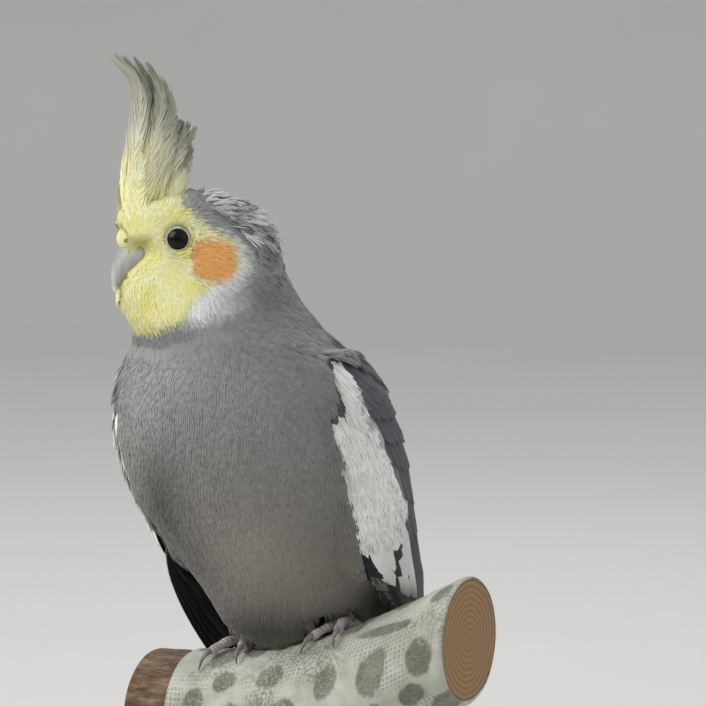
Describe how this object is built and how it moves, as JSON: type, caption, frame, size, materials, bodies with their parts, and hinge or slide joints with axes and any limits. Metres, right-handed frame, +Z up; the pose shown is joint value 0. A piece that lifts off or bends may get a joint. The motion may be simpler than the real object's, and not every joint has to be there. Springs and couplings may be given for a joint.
{
  "type": "cockatiel",
  "caption": "Life-size still model of an adult cockatiel gripping a cut length of bandaged branch, held by a plain display stand.",
  "frame": {"origin": "centre of the display stand's underside, on the surface it stands on", "axes": "+Z up; -Y the way the bird's breast faces; +X the bird's left side and the rising end of the branch"},
  "size_m": [0.15, 0.1554, 0.3152],
  "materials": {
    "body_plumage": "soft, matt mid-grey plumage",
    "face_plumage": "short yellow plumage with an orange cheek patch",
    "crest_plumage": "long pale yellow feathers with grey tips",
    "wing_plumage": "dark grey wing feathers with a white shoulder band",
    "tail_plumage": "dark grey tail feathers",
    "bill_horn": "satin grey horn",
    "cere_skin": "bare pale skin",
    "eye_gloss": "polished dark brown",
    "foot_skin": "scaly grey skin",
    "claw_horn": "dark horn",
    "bandage": "coarse woven wrap with grey spots",
    "branch_wood": "weathered brown wood",
    "base_wood": "dark satin wood",
    "rod_steel": "brushed steel rod"
  },
  "bodies": {
    "root": {"trunk": "body_plumage", "neck": "body_plumage", "head": "face_plumage", "crest": "crest_plumage", "bill_upper": "bill_horn", "bill_lower": "bill_horn", "cere": "cere_skin", "tail": "tail_plumage", "eye_left": "eye_gloss", "eye_right": "eye_gloss", "wing_left": "wing_plumage", "wing_right": "wing_plumage", "leg_left": "foot_skin", "leg_right": "foot_skin", "claw_left_inner_front": "claw_horn", "claw_left_outer_front": "claw_horn", "claw_left_outer_rear": "claw_horn", "claw_left_inner_rear": "claw_horn", "claw_right_inner_front": "claw_horn", "claw_right_outer_front": "claw_horn", "claw_right_outer_rear": "claw_horn", "claw_right_inner_rear": "claw_horn", "perch": "bandage", "stand_base": "base_wood", "stand_rod_left": "rod_steel", "stand_rod_right": "rod_steel"}
  },
  "joints": []
}
